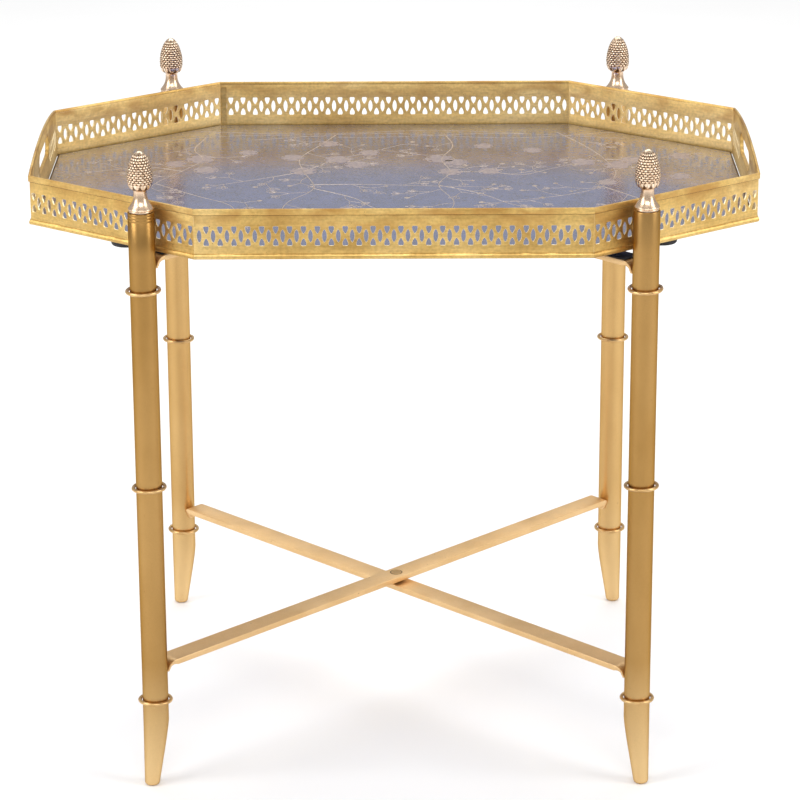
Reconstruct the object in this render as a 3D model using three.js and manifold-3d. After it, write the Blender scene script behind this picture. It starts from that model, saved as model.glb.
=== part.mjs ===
// Brass tray table: an eight-sided pierced-gallery tray that lifts off a folding stand.
// The stand is two frames that cross: frame A carries the front-left and rear-right legs, frame B the
// front-right and rear-left legs. Flat bars join each pair of legs low down and just under the tray.
// Frame A's bars lie over frame B's and are riveted to them at the middle, so frame B swings about the
// stand's vertical centre line.
// Millimetres, +Z up, -Y is the front. The origin is on the floor, at the centre of the four feet.
import * as THREE from "three";
import { mergeVertices } from "three/addons/utils/BufferGeometryUtils.js";
import Module from "manifold-3d";

const wasm = await Module();
wasm.setup();

// ---- driving dimensions -------------------------------------------------------------------------

const GAP = 0.3; // clearance between pieces that touch
const SHORTEST_EDGE = 0.02; // finer detail than this is merged where a piece is cut

const LEG_X = 234; // leg centre lines, from the middle of the stand
const LEG_Y = 227;
const LEG_TOP = 580.5;
const TUBE_R = 12.5;
const TUBE_WALL = 1.5;
const TUBE_SIDES = 20;
const FOOT_TAPER_HEIGHT = 64; // the foot narrows over this height
const FOOT_TIP_R = 7.4;
const FOOT_TIP_SHIFT = 7; // the tip leans out, away from the middle of the stand
const FOOT_EDGE_R = 3; // rounding round the flat bottom
const BORE_FLOOR = 78; // the tube is solid below this height

const RING_HEIGHTS = { upper: 504, middle: 308, lower: 88 };
const RING_R = 15.1; // middle of the wire
const RING_WIRE_R = 1.75;

const FINIAL_HEIGHT = 57.5;
const STUD_R = 3;
const STUD_LENGTH = 10;
const PLUG_HEIGHT = 12;

const BAR_WIDTH = 22;
// The height of frame A's top face, how much lower frame B's is, and the thickness of both.
const BAR_LEVELS = {
  lower: { top: 127.6, step: 8.4, thick: 6 },
  upper: { top: 537.3, step: 7.1, thick: 5.5 },
};
const TAB_DROP = 14; // the ends are bent down this far, against the legs
const TAB_END = 9; // width that a tab has narrowed to at its lower end
const TAB_THICK = 3;

const RIVET_R = 2;
const RIVET_HEAD_R = 3.2;
const RIVET_DROP = 9.8; // rivet centre below the bar's top face
const PIVOT_R = 3;
const PIVOT_HEAD_R = 5.9;
const PIVOT_HEAD_HEIGHT = 2.4;
const WASHER_R = 7;

const PAD_START = 190; // black strips on the outer stretch of the upper bars
const PAD_END = 309;
const PAD_WIDTH = 20;
const PAD_THICK = 0.9;

const TRAY_BOTTOM = 538.8;
const TRAY_HALF_LENGTH = 347.5; // outside of the gallery sheet, at the hand-hole ends
const TRAY_HALF_WIDTH = 243;
const LONG_SIDE_HALF = 184.5; // half the length of the front and rear panels
const END_SIDE_HALF = 124.5; // half the length of the two end panels
const RIM_TOP = 587.2;
const SHEET = 1.2;
const HEM_OUT = 1.3; // how far the folded hem stands out from the sheet
const HEM_HEIGHT = 6;
const LIP_OUT = 1.8; // the same for the bead along the bottom
const LIP_HEIGHT = 5;
const ARCH_RISE = 10; // the end panels rise this much at their middle
const ARCH_STEPS = 10;

const SLOT_LENGTH = 90; // hand hole through each end panel
const SLOT_HEIGHT = 20;
const SLOT_CENTRE = 574;
const SLOT_RIM_OUT = 2.4; // its edge is turned out by this much

const FLOOR_EDGE = 2; // thickness of the floor round its edge
const FLOOR_PANEL_RISE = 0.5;
const FLOOR_PANEL_INSET = 8;

const PAD_FOOT_R = 15; // round black feet under the tray, outboard of the legs
const PAD_FOOT_HEIGHT = 4.8;
const PAD_FOOT_X = 252;
const PAD_FOOT_Y = 174;

// ---- materials ----------------------------------------------------------------------------------

function metal(name, color, roughness) {
  return new THREE.MeshStandardMaterial({ name, color, roughness, metalness: 1 });
}

const satinGold = () => metal("satin_gold", 0xc8a05a, 0.38);
const polishedBrass = () => metal("polished_brass", 0xd8b06a, 0.22);
const antiqueBronze = () => metal("antique_bronze", 0x9c7560, 0.3);
const galleryBrass = () => metal("gallery_brass", 0xd0a850, 0.36);
const lacquer = () =>
  new THREE.MeshStandardMaterial({ name: "navy_lacquer", color: 0x2b3350, roughness: 0.25, metalness: 0.1 });
const blackRubber = () =>
  new THREE.MeshStandardMaterial({ name: "black_rubber", color: 0x17171a, roughness: 0.8, metalness: 0 });

// ---- solids: joining and cutting ----------------------------------------------------------------

function toSolid(geometry) {
  const bare = geometry.clone();
  bare.deleteAttribute("normal");
  bare.deleteAttribute("uv");
  const merged = mergeVertices(bare, 1e-4);
  return new wasm.Manifold(
    new wasm.Mesh({
      numProp: 3,
      vertProperties: new Float32Array(merged.attributes.position.array),
      triVerts: new Uint32Array(merged.index.array),
    }),
  );
}

function toGeometry(solid) {
  const { vertProperties, triVerts } = solid.getMesh();
  const geometry = new THREE.BufferGeometry();
  geometry.setAttribute("position", new THREE.BufferAttribute(vertProperties, 3));
  geometry.setIndex(new THREE.BufferAttribute(triVerts, 1));
  geometry.computeVertexNormals();
  return geometry;
}

// The cutters' overlap with the geometry is taken away, and edges too short to matter are merged.
function cut(geometry, cutters) {
  const rest = cutters.reduce((body, cutter) => body.subtract(toSolid(cutter)), toSolid(geometry));
  return toGeometry(rest.simplify(SHORTEST_EDGE));
}

// A closed body through a stack of convex loops with the same number of points, each a list of Vector3.
// The loops turn anticlockwise about the direction in which they are stacked.
function loft(loops) {
  const count = loops[0].length;
  const positions = loops.flat().flatMap((point) => [point.x, point.y, point.z]);
  const faces = [];
  for (let level = 0; level + 1 < loops.length; level++) {
    for (let i = 0; i < count; i++) {
      const next = (i + 1) % count;
      const low = level * count;
      const high = low + count;
      faces.push(low + i, low + next, high + next, low + i, high + next, high + i);
    }
  }
  const last = (loops.length - 1) * count;
  for (let i = 1; i + 1 < count; i++) {
    faces.push(0, i + 1, i);
    faces.push(last, last + i, last + i + 1);
  }
  const geometry = new THREE.BufferGeometry();
  geometry.setAttribute("position", new THREE.Float32BufferAttribute(positions, 3));
  geometry.setIndex(faces);
  geometry.computeVertexNormals();
  return geometry;
}

// A turned body about Z from its outline, given as radius and height pairs from the bottom up.
function turned(outline, sides) {
  const points = outline.map(([radius, height]) => new THREE.Vector2(radius, height));
  return new THREE.LatheGeometry(points, sides).rotateX(Math.PI / 2);
}

function rod(radius, length, sides) {
  return new THREE.CylinderGeometry(radius, radius, length, sides);
}

function sheet(outline, thickness) {
  return new THREE.ExtrudeGeometry(outline, { depth: thickness, bevelEnabled: false });
}

// ---- legs ---------------------------------------------------------------------------------------

const LEG_REACH = Math.hypot(LEG_X, LEG_Y); // leg centre line from the middle of the stand

const LEGS = [
  { place: "front_left", frame: "a", sx: -1, sy: -1 },
  { place: "rear_right", frame: "a", sx: 1, sy: 1 },
  { place: "front_right", frame: "b", sx: 1, sy: -1 },
  { place: "rear_left", frame: "b", sx: -1, sy: 1 },
];

function barTop(frame, { top, step }) {
  return frame === "a" ? top : top - step;
}

function circle(radius, height, shift = 0) {
  return Array.from({ length: TUBE_SIDES }, (_, i) => {
    const angle = (2 * Math.PI * i) / TUBE_SIDES;
    return new THREE.Vector3(shift + radius * Math.cos(angle), radius * Math.sin(angle), height);
  });
}

// The leg stands on its own axis, with +X pointing away from the middle of the stand.
function legGeometry(frame) {
  const taper = (height) => {
    const part = Math.min(height / FOOT_TAPER_HEIGHT, 1);
    return circle(FOOT_TIP_R + (TUBE_R - FOOT_TIP_R) * part, height, FOOT_TIP_SHIFT * (1 - part));
  };
  const rounding = [0, 0.35, 0.7].map((part) => {
    const inset = FOOT_EDGE_R * (1 - Math.sin((part * Math.PI) / 2));
    const height = FOOT_EDGE_R * (1 - Math.cos((part * Math.PI) / 2));
    return circle(FOOT_TIP_R - inset, height, FOOT_TIP_SHIFT);
  });
  const bore = TUBE_R - TUBE_WALL;
  const tube = loft([
    ...rounding,
    taper(FOOT_EDGE_R + 1),
    taper(FOOT_TAPER_HEIGHT),
    circle(TUBE_R, LEG_TOP),
    circle(bore, LEG_TOP),
    circle(bore, BORE_FLOOR),
  ]);
  const holes = Object.values(BAR_LEVELS).map((level) =>
    rod(RIVET_R + GAP, TUBE_R, 10)
      .rotateZ(Math.PI / 2)
      .translate(-TUBE_R, 0, barTop(frame, level) - RIVET_DROP),
  );
  return cut(tube, holes);
}

// A screw-in insert that closes the top of the tube and takes the finial's stud.
function plugGeometry() {
  const bore = STUD_R + GAP;
  const outside = TUBE_R - TUBE_WALL - GAP;
  const outline = [[bore, 0], [outside, 0], [outside, PLUG_HEIGHT], [bore, PLUG_HEIGHT], [bore, 0]];
  return turned(outline, 16);
}

// A pine cone on a waisted neck, standing on a beaded base, with a stud below.
function finialGeometry() {
  const neck = new THREE.CubicBezierCurve(
    new THREE.Vector2(11.4, 4),
    new THREE.Vector2(8.4, 8),
    new THREE.Vector2(6, 11),
    new THREE.Vector2(6, 15.5),
  );
  const cone = new THREE.CubicBezierCurve(
    new THREE.Vector2(8.6, 21.5),
    new THREE.Vector2(16.4, 28),
    new THREE.Vector2(8.5, FINIAL_HEIGHT),
    new THREE.Vector2(0, FINIAL_HEIGHT),
  );
  const outline = [
    [0, -STUD_LENGTH],
    [STUD_R, -STUD_LENGTH],
    [STUD_R, 0],
    [12, 0],
    [12.4, 1.8],
    ...neck.getPoints(4).map((point) => [point.x, point.y]),
    ...cone.getPoints(8).map((point) => [point.x, point.y]),
  ];
  return turned(outline, 16);
}

function ringGeometry() {
  return new THREE.TorusGeometry(RING_R, RING_WIRE_R, 6, 20);
}

// ---- crossing bars ------------------------------------------------------------------------------

const BAR_REACH = LEG_REACH - TUBE_R - GAP; // outside of the bent tabs, from the middle

// The outline is seen from the side; the body lies along X, as wide on both sides of it.
function sideways(outline, width) {
  const points = outline.map(([along, height]) => new THREE.Vector2(along, height));
  return sheet(new THREE.Shape(points), width)
    .rotateX(Math.PI / 2)
    .translate(0, width / 2, 0);
}

// The outline is seen from the end; the body lies along X, as long on both sides of the middle.
function endways(outline, length) {
  const points = outline.map(([across, height]) => new THREE.Vector2(across, height));
  return sheet(new THREE.Shape(points), length)
    .rotateX(Math.PI / 2)
    .rotateZ(Math.PI / 2)
    .translate(-length / 2, 0, 0);
}

// A straight bar along X with its top face at z = 0. Its ends are bent down into tabs that narrow
// towards their lower ends. Frame A's bars are countersunk for the middle rivet.
function barGeometry(thick, countersunk) {
  const spare = 1; // both views run on past the faces that the other view sets
  const inner = BAR_REACH - TAB_THICK;
  const low = -TAB_DROP - spare;
  const side = sideways(
    [
      [BAR_REACH, 0], [-BAR_REACH, 0], [-BAR_REACH, low], [-inner, low],
      [-inner, -thick], [inner, -thick], [inner, low], [BAR_REACH, low],
    ],
    BAR_WIDTH + 2 * spare,
  );
  const half = BAR_WIDTH / 2;
  const end = endways(
    [
      [half, spare], [-half, spare], [-half, -thick - spare], [-TAB_END / 2, -TAB_DROP],
      [TAB_END / 2, -TAB_DROP], [half, -thick - spare],
    ],
    2 * LEG_REACH,
  );
  const pivotHole = rod(PIVOT_R + GAP, 4 * thick, 12).rotateX(Math.PI / 2);
  const tabHoles = [-1, 1].map((way) =>
    rod(RIVET_R + GAP, 4 * TAB_THICK, 10)
      .rotateZ(Math.PI / 2)
      .translate(way * BAR_REACH, 0, -RIVET_DROP),
  );
  const cutters = [pivotHole, ...tabHoles];
  if (countersunk) {
    const sink = PIVOT_HEAD_HEIGHT + GAP;
    const mouth = PIVOT_HEAD_R + GAP;
    cutters.push(turned([[0, -sink], [PIVOT_R + GAP, -sink], [mouth, 0], [mouth, spare], [0, spare]], 12));
  }
  return cut(toGeometry(toSolid(side).intersect(toSolid(end))), cutters);
}

// The rivet through both bars of one level, with z = 0 at frame A's top face, where it lies flush.
function pivotGeometry({ step, thick }) {
  const bottom = -step - thick - GAP;
  const outline = [
    [0, bottom - PIVOT_HEAD_HEIGHT],
    [0.7 * PIVOT_HEAD_R, bottom - 0.8 * PIVOT_HEAD_HEIGHT],
    [PIVOT_HEAD_R, bottom],
    [PIVOT_R, bottom],
    [PIVOT_R, -PIVOT_HEAD_HEIGHT],
    [PIVOT_HEAD_R, 0],
    [0, 0],
  ];
  return turned(outline, 12);
}

// It fills the space between the two bars of one level.
function washerGeometry({ step, thick }) {
  const height = step - thick - 2 * GAP;
  const bore = PIVOT_R + GAP;
  return turned([[bore, 0], [WASHER_R, 0], [WASHER_R, height], [bore, height], [bore, 0]], 12);
}

// A rivet through a tab and the tube behind it. It lies along +X, with x = 0 on the tab's inner face.
function tabRivetGeometry() {
  const end = TAB_THICK + GAP + TUBE_WALL + 2.5;
  const crown = 0.7 * RIVET_HEAD_R;
  const outline = [[0, -2], [crown, -1.4], [RIVET_HEAD_R, -GAP], [RIVET_R, -GAP], [RIVET_R, end], [0, end]];
  return turned(outline, 10).rotateY(Math.PI / 2);
}

// A black strip stuck on a bar's top face near the leg.
function stripGeometry() {
  const top = GAP + PAD_THICK;
  return sideways([[PAD_START, GAP], [PAD_END, GAP], [PAD_END, top], [PAD_START, top]], PAD_WIDTH);
}

// ---- tray ---------------------------------------------------------------------------------------

// The eight corners of the outside of the gallery, anticlockwise from the rear end of the right side.
const CORNERS = [
  [TRAY_HALF_LENGTH, END_SIDE_HALF],
  [LONG_SIDE_HALF, TRAY_HALF_WIDTH],
  [-LONG_SIDE_HALF, TRAY_HALF_WIDTH],
  [-TRAY_HALF_LENGTH, END_SIDE_HALF],
  [-TRAY_HALF_LENGTH, -END_SIDE_HALF],
  [-LONG_SIDE_HALF, -TRAY_HALF_WIDTH],
  [LONG_SIDE_HALF, -TRAY_HALF_WIDTH],
  [TRAY_HALF_LENGTH, -END_SIDE_HALF],
].map(([x, y]) => new THREE.Vector2(x, y));

const PANELS = [
  "rear_right", "rear", "rear_left", "left_end", "front_left", "front", "front_right", "right_end",
];

function outwardNormal(from, to) {
  const along = to.clone().sub(from).normalize();
  return new THREE.Vector2(along.y, -along.x);
}

// A corner moved out so that both of its sides move out by the same distance.
function offsetCorner(index, distance) {
  const corner = CORNERS[index % 8];
  const before = outwardNormal(CORNERS[(index + 7) % 8], corner);
  const after = outwardNormal(corner, CORNERS[(index + 1) % 8]);
  const mitre = before.clone().add(after).normalize();
  return corner.clone().addScaledVector(mitre, distance / mitre.dot(before));
}

// The gallery's section: distance out from the sheet's outer face, and height.
const SECTION = new THREE.Shape(
  [
    [-SHEET, TRAY_BOTTOM],
    [LIP_OUT, TRAY_BOTTOM],
    [LIP_OUT, TRAY_BOTTOM + LIP_HEIGHT],
    [0, TRAY_BOTTOM + LIP_HEIGHT],
    [0, RIM_TOP - HEM_HEIGHT],
    [HEM_OUT, RIM_TOP - HEM_HEIGHT],
    [HEM_OUT, RIM_TOP],
    [-SHEET, RIM_TOP],
  ].map(([out, height]) => new THREE.Vector2(out, height)),
);

// The section runs from the panel's second corner to its first, mitred at both, and its hem follows
// the arch.
function panelGeometry(index, rise, steps) {
  const geometry = new THREE.ExtrudeGeometry(SECTION, { depth: 1, steps, bevelEnabled: false });
  const points = geometry.attributes.position;
  for (let i = 0; i < points.count; i++) {
    const out = points.getX(i);
    const height = points.getY(i);
    const part = points.getZ(i);
    const from = offsetCorner(index + 1, out);
    const to = offsetCorner(index, out);
    const along = to.clone().sub(from).normalize();
    const spot = from.lerp(to, part).addScaledVector(along, (GAP / 2) * (1 - 2 * part));
    const onHem = height > (TRAY_BOTTOM + RIM_TOP) / 2;
    const lift = onHem ? rise * (1 - (2 * part - 1) ** 2) : 0;
    points.setXYZ(i, spot.x, spot.y, height + lift);
  }
  return geometry;
}

// A bar with round ends that lies across an end panel, between two distances out from the sheet.
function slotBar(side, radius, from, to) {
  const straight = SLOT_LENGTH / 2 - SLOT_HEIGHT / 2;
  const outline = new THREE.Shape();
  outline.absarc(straight, 0, radius, -Math.PI / 2, Math.PI / 2);
  outline.absarc(-straight, 0, radius, Math.PI / 2, (3 * Math.PI) / 2);
  const bar = new THREE.ExtrudeGeometry(outline, { depth: to - from, bevelEnabled: false, curveSegments: 6 });
  return bar
    .translate(0, 0, from)
    .rotateX(Math.PI / 2)
    .rotateZ((side * Math.PI) / 2)
    .translate(side * TRAY_HALF_LENGTH, 0, SLOT_CENTRE);
}

// An end panel has a hand hole whose edge is turned outwards.
function endPanelGeometry(index) {
  const side = Math.sign(CORNERS[index].x);
  const rim = toSolid(slotBar(side, SLOT_HEIGHT / 2 + SHEET, -SHEET / 2, SLOT_RIM_OUT));
  const panel = toSolid(panelGeometry(index, ARCH_RISE, ARCH_STEPS)).add(rim);
  return cut(toGeometry(panel), [slotBar(side, SLOT_HEIGHT / 2, -2 * SHEET, 2 * SLOT_RIM_OUT)]);
}

// Each panel of the front half is the one across the tray from it, turned half round.
function addPanel(parent, index) {
  const twin = index % (PANELS.length / 2);
  const isEnd = PANELS[twin].endsWith("_end");
  const geometry = isEnd ? endPanelGeometry(twin) : panelGeometry(twin, 0, 1);
  const panel = addPiece(parent, `gallery_${PANELS[index]}`, geometry, galleryBrass());
  panel.rotation.z = twin === index ? 0 : Math.PI;
}

// The floor: a thin plate inside the gallery, whose painted panel stands a little proud of its edge.
function floorGeometry() {
  const edge = -SHEET - GAP;
  const level = (out, z) =>
    CORNERS.map((_, index) => {
      const corner = offsetCorner(index, out);
      return new THREE.Vector3(corner.x, corner.y, z);
    });
  const shoulder = TRAY_BOTTOM + FLOOR_EDGE;
  return loft([
    level(edge, TRAY_BOTTOM),
    level(edge, shoulder),
    level(edge - FLOOR_PANEL_INSET, shoulder),
    level(edge - FLOOR_PANEL_INSET, shoulder + FLOOR_PANEL_RISE),
  ]);
}

function padFootGeometry() {
  const round = 1.2;
  const outline = [
    [0, 0],
    [PAD_FOOT_R - round, 0],
    [PAD_FOOT_R, round],
    [PAD_FOOT_R, PAD_FOOT_HEIGHT],
    [0, PAD_FOOT_HEIGHT],
  ];
  return turned(outline, 20);
}

// ---- assembly -----------------------------------------------------------------------------------

const group = new THREE.Group();
const stand = new THREE.Group();
const tray = new THREE.Group();
group.add(stand, tray);

function addPiece(parent, name, geometry, material) {
  const mesh = new THREE.Mesh(geometry, material);
  mesh.name = name;
  parent.add(mesh);
  return mesh;
}

for (const { place, frame, sx, sy } of LEGS) {
  const post = new THREE.Group();
  post.position.set(sx * LEG_X, sy * LEG_Y, 0);
  post.rotation.z = Math.atan2(sy * LEG_Y, sx * LEG_X);
  stand.add(post);
  addPiece(post, `leg_${place}`, legGeometry(frame), satinGold());
  addPiece(post, `leg_plug_${place}`, plugGeometry(), satinGold()).position.z = LEG_TOP - PLUG_HEIGHT;
  addPiece(post, `finial_${place}`, finialGeometry(), antiqueBronze()).position.z = LEG_TOP + GAP;
  for (const [level, height] of Object.entries(RING_HEIGHTS)) {
    addPiece(post, `ring_${place}_${level}`, ringGeometry(), polishedBrass()).position.z = height;
  }
}

const FRAMES = [
  { frame: "a", ends: ["rear_right", "front_left"] },
  { frame: "b", ends: ["front_right", "rear_left"] },
];

for (const { frame, ends } of FRAMES) {
  const { sx, sy } = LEGS.find(({ place }) => place === ends[0]);
  const heading = Math.atan2(sy * LEG_Y, sx * LEG_X);
  for (const [name, level] of Object.entries(BAR_LEVELS)) {
    const row = new THREE.Group();
    row.position.z = barTop(frame, level);
    row.rotation.z = heading;
    stand.add(row);
    addPiece(row, `bar_${frame}_${name}`, barGeometry(level.thick, frame === "a"), satinGold());
    ends.forEach((end, index) => {
      const half = new THREE.Group();
      half.rotation.z = index * Math.PI;
      row.add(half);
      const rivet = addPiece(half, `tab_rivet_${end}_${name}`, tabRivetGeometry(), satinGold());
      rivet.position.set(BAR_REACH - TAB_THICK, 0, -RIVET_DROP);
      if (name === "upper") {
        addPiece(half, `bar_strip_${end}`, stripGeometry(), blackRubber());
      }
    });
  }
}

for (const [name, level] of Object.entries(BAR_LEVELS)) {
  addPiece(stand, `pivot_rivet_${name}`, pivotGeometry(level), polishedBrass()).position.z = level.top;
  const washer = addPiece(stand, `pivot_washer_${name}`, washerGeometry(level), satinGold());
  washer.position.z = barTop("b", level) + GAP;
}

PANELS.forEach((_, index) => addPanel(tray, index));
addPiece(tray, "tray_floor", floorGeometry(), lacquer());

for (const { place, sx, sy } of LEGS) {
  const foot = addPiece(tray, `tray_foot_${place}`, padFootGeometry(), blackRubber());
  foot.position.set(sx * PAD_FOOT_X, sy * PAD_FOOT_Y, TRAY_BOTTOM - GAP - PAD_FOOT_HEIGHT);
}

export default group;
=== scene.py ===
import math
import random

import bmesh
import bpy
from mathutils import Matrix, Vector, noise


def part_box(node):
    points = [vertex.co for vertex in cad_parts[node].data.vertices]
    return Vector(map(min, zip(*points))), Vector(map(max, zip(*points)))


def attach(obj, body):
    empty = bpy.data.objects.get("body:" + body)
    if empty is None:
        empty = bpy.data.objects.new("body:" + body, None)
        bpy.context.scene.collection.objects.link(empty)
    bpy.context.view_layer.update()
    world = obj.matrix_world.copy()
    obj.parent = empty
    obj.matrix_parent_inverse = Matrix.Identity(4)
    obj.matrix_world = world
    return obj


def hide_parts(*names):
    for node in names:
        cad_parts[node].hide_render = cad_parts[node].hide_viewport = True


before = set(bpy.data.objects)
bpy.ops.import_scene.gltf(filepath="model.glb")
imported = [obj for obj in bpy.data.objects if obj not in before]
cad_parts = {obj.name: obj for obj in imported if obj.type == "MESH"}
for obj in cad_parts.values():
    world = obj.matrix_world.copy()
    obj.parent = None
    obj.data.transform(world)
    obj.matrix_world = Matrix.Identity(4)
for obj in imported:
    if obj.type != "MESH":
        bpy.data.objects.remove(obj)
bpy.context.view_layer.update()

# The brass tray table: an eight-sided pierced tray on a folding stand of four ringed legs.
# Lengths below are millimetres unless their name says otherwise; MM turns them into metres.
MM = 0.001

# ---- sizes that the frame doesn't give ----------------------------------------------------------

TUBE_R = 12.5
TUBE_WALL = 1.5
FOOT_TAPER_HEIGHT = 64  # the foot narrows over this height
FOOT_TIP_R = 7.4
FOOT_TIP_SHIFT = 7  # the tip leans away from the middle of the stand
FOOT_ROUND = 3  # radius of the tip's rounded edge
FOOT_BLEND = 8  # height above the taper over which the foot meets the straight tube
GROOVE_DEPTH = 0.35
GROOVE_DROPS = (2.5, 5.3, 8.1)  # turned lines, below the top of the front left leg

RING_R = 15.1
RING_WIRE_R = 1.75

BAR_WIDTH = 22
BAR_THICK = {"lower": 6, "upper": 5.5}
TAB_DROP = 14
TAB_END = 9  # width of a tab just above its rounded lower end
TAB_START = 14  # width of a tab at the bend
TAB_THICK = 3
BEND_R = 8  # of the bar's top face, where its end turns down to a tab
STRIP_START, STRIP_END = 190, 309  # of the black strips, from the middle of the bar
STRIP_WIDTH = 20
STRIP_CORNER = 2.4  # how far its end corners are cut away
RIVET_HEAD_R = 3.2
RIVET_PROUD = 0.35  # of the crossing rivets, above the bar
WASHER_BORE_R = 3.3

SHEET = 1.2
HEM_OUT = 1.3
HEM_HEIGHT = 6
LIP_OUT = 1.8
LIP_HEIGHT = 5
ARCH_RISE = 10
SEAM = 0.06  # half of the fine gap between two panels

PITCH = 12.84  # of the pierced pattern
LENS_WIDTH = 4.3
LENS_SPAN = (15.8, 28.6)  # heights of each hole above the underside of the tray
UPPER_DROP_SPAN = (24.2, 31.6)  # from the drop's point to its base
LOWER_DROP_SPAN = (20.2, 12.9)
DROP_WIDTH = 5.1
HOLE_MARGIN = 0.8  # between the last hole and the corner
HOLE_EDGE = 0.16  # bevel round each hole

SLOT_LENGTH = 90
SLOT_HEIGHT = 20
SLOT_RIM_OUT = 2.4
SLOT_RIM_THICK = 1.2
SLOT_HEIGHT_ON_STAND = 574  # of the hand hole's middle, above the ground

FLOOR_INSET = 0.9  # from the inner face of the gallery to the edge of the tray floor
BROAD_FACE_AREA = 0.1  # in square metres; only the two broad faces of the floor are larger

SHARP_ANGLE = math.radians(38)

PLACES = {
    "front_left": "frame_a", "rear_right": "frame_a", "front_right": "frame_b", "rear_left": "frame_b",
}
PANELS = (
    "rear_right", "rear", "rear_left", "left_end", "front_left", "front", "front_right", "right_end",
)

rng = random.Random(7)


def centre(node):
    low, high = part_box(node)
    return (low + high) / 2


# ---- materials ----------------------------------------------------------------------------------

class Surface:
    """A material under construction: one Principled shader and the nodes that feed it."""

    def __init__(self, name, metallic, roughness):
        self.material = bpy.data.materials.new(name)
        self.material.use_nodes = True
        self.tree = self.material.node_tree
        self.shader = self.tree.nodes["Principled BSDF"]
        self.shader.inputs["Metallic"].default_value = metallic
        self.shader.inputs["Roughness"].default_value = roughness
        self.place = self.node("ShaderNodeTexCoord").outputs["Object"]

    def node(self, kind, **values):
        made = self.tree.nodes.new(kind)
        for name, value in values.items():
            setattr(made, name, value)
        return made

    def link(self, output, socket):
        self.tree.links.new(output, socket)

    def along_sheet(self):
        """Uses the mesh's own layer of lengths along and up the sheet, in metres."""
        self.place = self.node("ShaderNodeUVMap", uv_map="Sheet").outputs["UV"]
        return self

    def noise(self, scale, detail=3.0, stretch=(1, 1, 1), distortion=0.0):
        mapping = self.node("ShaderNodeMapping")
        mapping.inputs["Scale"].default_value = stretch
        self.link(self.place, mapping.inputs["Vector"])
        made = self.node("ShaderNodeTexNoise")
        made.inputs["Scale"].default_value = scale
        made.inputs["Detail"].default_value = detail
        made.inputs["Distortion"].default_value = distortion
        self.link(mapping.outputs["Vector"], made.inputs["Vector"])
        return made.outputs["Fac"]

    def cracks(self, scale, warp):
        """Distance to the nearest line of a crackle whose lines wander by warp metres."""
        made = self.node("ShaderNodeTexVoronoi", feature="DISTANCE_TO_EDGE")
        made.inputs["Scale"].default_value = scale
        shift = self.node("ShaderNodeVectorMath", operation="MULTIPLY_ADD")
        wobble = self.node("ShaderNodeTexNoise")
        wobble.inputs["Scale"].default_value = scale * 0.8
        self.link(self.place, wobble.inputs["Vector"])
        self.link(wobble.outputs["Color"], shift.inputs[0])
        shift.inputs[1].default_value = (warp, warp, warp)
        self.link(self.place, shift.inputs[2])
        self.link(shift.outputs["Vector"], made.inputs["Vector"])
        return made.outputs["Distance"]

    def ramp(self, factor, *stops):
        """A colour or grey for each position; a stop is (position, colour or grey)."""
        made = self.node("ShaderNodeValToRGB")
        elements = made.color_ramp.elements
        while len(elements) < len(stops):
            elements.new(1.0)
        for element, (position, value) in zip(elements, stops):
            element.position = position
            colour = value if isinstance(value, tuple) else (value, value, value)
            element.color = (*colour, 1.0)
        self.link(factor, made.inputs["Fac"])
        return made.outputs["Color"]

    def mix(self, factor, first, second, blend="MIX"):
        made = self.node("ShaderNodeMix", data_type="RGBA", blend_type=blend)
        inputs = {s.identifier: s for s in made.inputs}
        for value, name in ((factor, "Factor_Float"), (first, "A_Color"), (second, "B_Color")):
            if isinstance(value, bpy.types.NodeSocket):
                self.link(value, inputs[name])
            else:
                inputs[name].default_value = value if isinstance(value, float) else (*value, 1.0)
        return next(s for s in made.outputs if s.identifier == "Result_Color")

    def attribute(self, name):
        return self.node("ShaderNodeAttribute", attribute_name=name).outputs["Fac"]

    def colour(self, output):
        self.link(output, self.shader.inputs["Base Color"])
        return self

    def roughness(self, output):
        self.link(output, self.shader.inputs["Roughness"])
        return self

    def bumps(self, *layers):
        """Each layer is (height, strength, depth in mm), the coarsest first."""
        normal = None
        for height, strength, depth in layers:
            made = self.node("ShaderNodeBump")
            made.inputs["Strength"].default_value = strength
            made.inputs["Distance"].default_value = depth * MM
            self.link(height, made.inputs["Height"])
            if normal:
                self.link(normal, made.inputs["Normal"])
            normal = made.outputs["Normal"]
        self.link(normal, self.shader.inputs["Normal"])
        return self


def satin_gold(name, dark, light):
    """Gold-coloured paint on steel tube: a soft sheen, a fine sparkle, a few dark specks and a painted
    reflection of the bright floor low down.
    """
    s = Surface(name, 1.0, 0.34)
    broad = s.ramp(s.noise(14, 4, (1, 1, 0.4)), (0.3, dark), (0.7, light))
    height = s.node("ShaderNodeSeparateXYZ")
    s.link(s.place, height.inputs[0])
    # Painted reflection: the colour is lightest in the lowest 2 cm of each piece, in its own coordinates, and
    # fades out by 13 cm. It stands for the bright floor seen in the feet.
    brighter = s.ramp(height.outputs["Z"], (0.02, 0.95), (0.13, 0.0))
    painted_reflection_low = s.mix(brighter, broad, (0.86, 0.6, 0.29))
    grain = s.ramp(s.noise(2600, 2), (0.35, 0.84), (0.65, 1.0))
    toned = s.mix(1.0, painted_reflection_low, grain, "MULTIPLY")
    specks = s.ramp(s.noise(330, 2), (0.76, 0.0), (0.79, 1.0))
    s.colour(s.mix(specks, toned, (0.2, 0.09, 0.02)))
    s.shader.inputs["Specular Tint"].default_value = (0.62, 0.5, 0.36, 1)
    s.roughness(s.ramp(s.noise(60, 4), (0.3, 0.3), (0.7, 0.38)))
    return s.bumps((s.noise(160, 3), 0.2, 0.2), (s.noise(1900, 2), 0.35, 0.05)).material


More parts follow.
